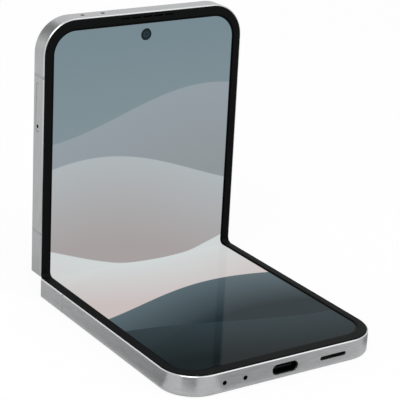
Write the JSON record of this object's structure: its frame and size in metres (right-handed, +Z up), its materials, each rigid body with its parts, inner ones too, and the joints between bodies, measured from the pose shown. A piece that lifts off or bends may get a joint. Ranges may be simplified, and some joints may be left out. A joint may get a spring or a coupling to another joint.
{
  "type": "flip phone",
  "caption": "Clamshell folding phone resting half open at a right angle: aluminium frames, flexible inner display in a raised rim, side keys, card tray, rear cameras and a geared hinge.",
  "frame": {"origin": "middle of the lower half's back face, on the surface it rests on", "axes": "+X along the fold to the side with the keys, +Y from the user towards the fold, +Z up, with the upper half standing along +Z"},
  "size_m": [0.0722, 0.0918, 0.0895],
  "materials": {
    "frame_aluminium": "satin anodised silver",
    "key_aluminium": "satin anodised silver",
    "tray_aluminium": "satin anodised silver",
    "spine_aluminium": "satin anodised silver",
    "ring_aluminium": "turned and anodised silver",
    "antenna_plastic": "moulded into the frame and anodised over",
    "display_glass": "lit flexible display behind ultra-thin glass and film",
    "bezel_rubber": "soft-touch moulded black",
    "back_glass": "etched matte glass with a pale silver backing",
    "cover_glass": "polished glass with a black backing",
    "lens_glass": "polished coated glass",
    "flash_lens": "frosted lens",
    "steel": "stamped and rolled",
    "gear_steel": "sintered and tumbled",
    "circuit_board": "solder resist",
    "battery_wrap": "foil pouch in black film",
    "copper_coil": "wound copper",
    "moulded_black": "moulded",
    "speaker_mesh": "blackened woven mesh",
    "flex_amber": "polyimide film"
  },
  "bodies": {
    "spine": {"spine_cover": "spine_aluminium", "spine_end_caps": "spine_aluminium", "hinge_blocks": "gear_steel", "gear_block": "gear_steel", "gear_pins": "gear_steel", "friction_washers": "gear_steel", "spine_screws": "steel", "display_fold": "display_glass", "fold_gaskets": "bezel_rubber", "hinge_flex_cable": "flex_amber"},
    "lower_half": {"lower_frame": "frame_aluminium", "antenna_breaks_lower": "antenna_plastic", "lower_back_glass": "back_glass", "lower_bezel": "bezel_rubber", "display_lower": "display_glass", "display_support_lower": "steel", "lower_battery": "battery_wrap", "wireless_charging_coil": "copper_coil", "sub_board": "circuit_board", "board_screws_lower": "steel", "usb_c_receptacle": "steel", "speaker_mesh": "speaker_mesh", "loudspeaker": "moulded_black", "vibration_motor": "moulded_black", "bottom_microphones": "moulded_black", "hinge_arms_lower": "gear_steel", "hinge_screws_lower": "steel", "sync_sector_lower": "gear_steel"},
    "gear_1": {"sync_gear_1": "gear_steel"},
    "gear_2": {"sync_gear_2": "gear_steel"},
    "gear_3": {"sync_gear_3": "gear_steel"},
    "gear_4": {"sync_gear_4": "gear_steel"},
    "upper_half": {"upper_frame": "frame_aluminium", "antenna_breaks_upper": "antenna_plastic", "cover_glass": "cover_glass", "upper_bezel": "bezel_rubber", "display_upper": "display_glass", "display_support_upper": "steel", "cover_display_panel": "moulded_black", "upper_battery": "battery_wrap", "main_board": "circuit_board", "board_screws_upper": "steel", "shield_cans": "steel", "front_camera": "moulded_black", "earpiece_speaker": "moulded_black", "rear_camera_modules": "moulded_black", "camera_rings": "ring_aluminium", "camera_lens_glass": "lens_glass", "flash": "flash_lens", "top_microphones": "moulded_black", "sim_reader": "steel", "key_switches": "moulded_black", "hinge_arms_upper": "gear_steel", "hinge_screws_upper": "steel", "sync_sector_upper": "gear_steel"},
    "sim_tray": {"sim_tray": "tray_aluminium"},
    "power_key": {"power_key": "key_aluminium"},
    "volume_key": {"volume_key": "key_aluminium"}
  },
  "joints": [
    {"name": "lower_fold", "type": "hinge", "parent": "spine", "child": "lower_half", "pos_m": [0, 0.04045, 0.0066], "axis": [-1, 0, 0], "range_deg": [-45, 45], "deforming": ["display_fold", "fold_gaskets", "hinge_flex_cable"]},
    {"name": "upper_fold", "type": "hinge", "parent": "spine", "child": "upper_half", "pos_m": [0, 0.04169, 0.00784], "axis": [1, 0, 0], "range_deg": [-45, 45], "deforming": ["display_fold", "fold_gaskets", "hinge_flex_cable"]},
    {"name": "gear_1_spin", "type": "hinge", "parent": "spine", "child": "gear_1", "pos_m": [0, 0.04045, 0.00398], "axis": [1, 0, 0], "range_deg": [-85, 85]},
    {"name": "gear_2_spin", "type": "hinge", "parent": "spine", "child": "gear_2", "pos_m": [0, 0.04173, 0.00527], "axis": [1, 0, 0], "range_deg": [-85, 85]},
    {"name": "gear_3_spin", "type": "hinge", "parent": "spine", "child": "gear_3", "pos_m": [0, 0.04302, 0.00655], "axis": [1, 0, 0], "range_deg": [-85, 85]},
    {"name": "gear_4_spin", "type": "hinge", "parent": "spine", "child": "gear_4", "pos_m": [0, 0.04431, 0.00784], "axis": [1, 0, 0], "range_deg": [-85, 85]},
    {"name": "sim_tray_slide", "type": "slide", "parent": "upper_half", "child": "sim_tray", "axis": [-1, 0, 0], "range_m": [0, 0.018]},
    {"name": "power_key_press", "type": "slide", "parent": "upper_half", "child": "power_key", "axis": [-1, 0, 0], "range_m": [0, 0.00025], "stiffness_N_per_m": 6000},
    {"name": "volume_key_rock", "type": "hinge", "parent": "upper_half", "child": "volume_key", "pos_m": [0.03335, 0.04509, 0.06096], "axis": [0, 1, 0], "range_deg": [-1.2, 1.2], "stiffness_Nm_per_rad": 0.4}
  ],
  "couplings": [
    {"joint": "upper_fold", "follows": "lower_fold", "ratio": 1},
    {"joint": "gear_1_spin", "follows": "lower_fold", "ratio": 1.8889},
    {"joint": "gear_2_spin", "follows": "lower_fold", "ratio": -1.8889},
    {"joint": "gear_3_spin", "follows": "lower_fold", "ratio": 1.8889},
    {"joint": "gear_4_spin", "follows": "lower_fold", "ratio": -1.8889}
  ]
}
